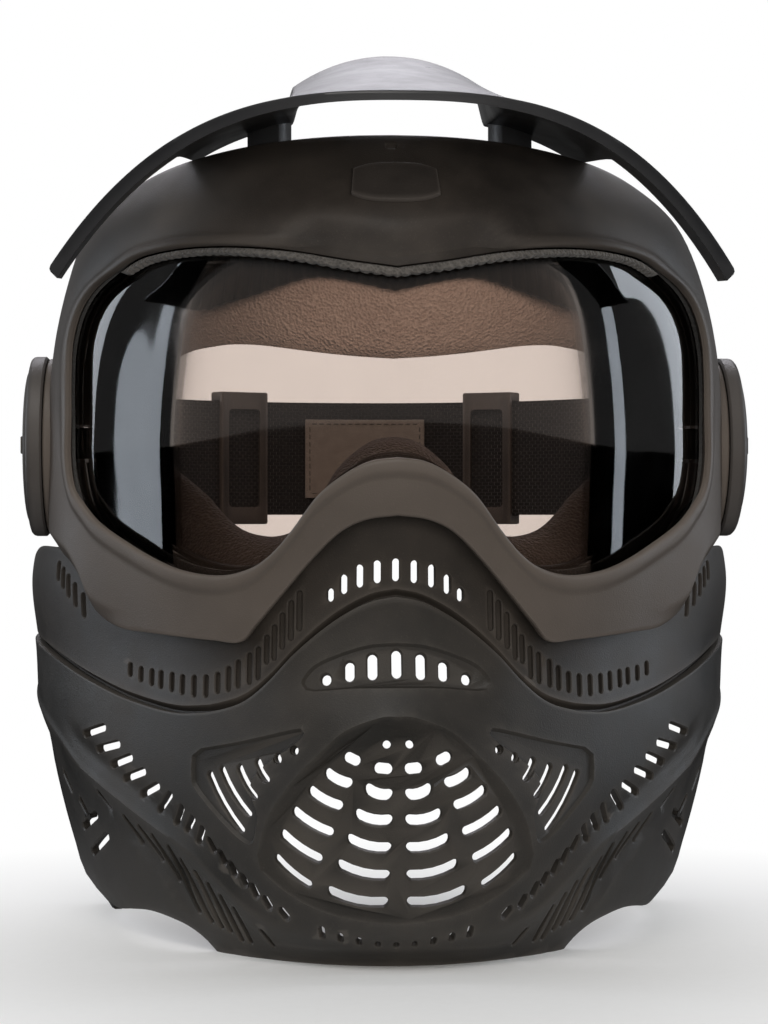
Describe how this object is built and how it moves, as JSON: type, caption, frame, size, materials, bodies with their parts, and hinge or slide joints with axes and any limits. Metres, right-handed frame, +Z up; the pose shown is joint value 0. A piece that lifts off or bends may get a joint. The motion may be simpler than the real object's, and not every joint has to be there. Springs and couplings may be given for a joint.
{
  "type": "paintball mask",
  "caption": "Full-face paintball mask with wide double lens, slotted jaw guard, visor, turning side locks and adjustable elastic headband.",
  "frame": {"origin": "middle of the chin's flat resting face, on the table plane", "axes": "+Z up as worn, -Y the way the wearer looks, +X towards the wearer's left"},
  "size_m": [0.2088, 0.2706, 0.2473],
  "materials": {
    "goggle_frame": "fine matte texture, near black",
    "brow_plate": "smooth matte plate, bare",
    "lens_gasket": "soft black seal",
    "lens_outer": "clear polycarbonate with a faint warm tint, glossy",
    "lens_spacer": "foam tape between the panes",
    "lens_inner": "clear thermal pane",
    "vent_foam": "open-cell dust foam",
    "foam_carrier": "plain black moulding",
    "face_foam": "soft grey-brown foam with a fuzzy face",
    "cheek_skirt": "matte flexible moulding",
    "jaw_guard": "matte flexible moulding",
    "guard_screws": "dark steel",
    "visor": "satin black",
    "pod_base": "matte black",
    "lock_dial": "satin black",
    "lens_cam": "dark grey moulding",
    "pivot_screw": "zinc plated",
    "pivot_nut": "zinc plated",
    "strap_arm": "matte black",
    "headband": "black woven elastic",
    "strap_patch": "blank taupe label patch",
    "strap_slider": "smooth black"
  },
  "bodies": {
    "mask": {"goggle_frame": "goggle_frame", "brow_plate": "brow_plate", "lens_gasket": "lens_gasket", "lens_outer": "lens_outer", "lens_spacer": "lens_spacer", "lens_inner": "lens_inner", "vent_foam": "vent_foam", "foam_carrier": "foam_carrier", "face_foam": "face_foam", "cheek_skirt": "cheek_skirt", "jaw_guard": "jaw_guard", "guard_screws": "guard_screws", "pod_base_left": "pod_base", "pod_base_right": "pod_base", "pivot_screw_left": "pivot_screw", "pivot_screw_right": "pivot_screw", "pivot_nut_left": "pivot_nut", "pivot_nut_right": "pivot_nut"},
    "visor_unit": {"visor": "visor"},
    "dial_left": {"lock_dial_left": "lock_dial", "lens_cam_left": "lens_cam"},
    "dial_right": {"lock_dial_right": "lock_dial", "lens_cam_right": "lens_cam"},
    "headband_unit": {"strap_arm_left": "strap_arm", "strap_arm_right": "strap_arm", "headband": "headband", "strap_patch": "strap_patch"},
    "slider_left": {"strap_slider_left": "strap_slider"},
    "slider_right": {"strap_slider_right": "strap_slider"}
  },
  "joints": [
    {"name": "headband_swing", "type": "hinge", "parent": "mask", "child": "headband_unit", "pos_m": [0, 0.069, 0.139], "axis": [1, 0, 0], "range_deg": [-15, 45]},
    {"name": "dial_left_turn", "type": "hinge", "parent": "mask", "child": "dial_left", "pos_m": [0.1, 0.069, 0.139], "axis": [1, 0, 0], "range_deg": [0, 60]},
    {"name": "dial_right_turn", "type": "hinge", "parent": "mask", "child": "dial_right", "pos_m": [-0.1, 0.069, 0.139], "axis": [1, 0, 0], "range_deg": [0, 60]},
    {"name": "visor_lift", "type": "slide", "parent": "mask", "child": "visor_unit", "axis": [0, 0, 1], "range_m": [0, 0.009]},
    {"name": "slider_left_shift", "type": "hinge", "parent": "headband_unit", "child": "slider_left", "pos_m": [0, 0.146, 0.139], "axis": [0, 0, -1], "range_deg": [-6, 12]},
    {"name": "slider_right_shift", "type": "hinge", "parent": "headband_unit", "child": "slider_right", "pos_m": [0, 0.146, 0.139], "axis": [0, 0, 1], "range_deg": [-6, 12]}
  ]
}
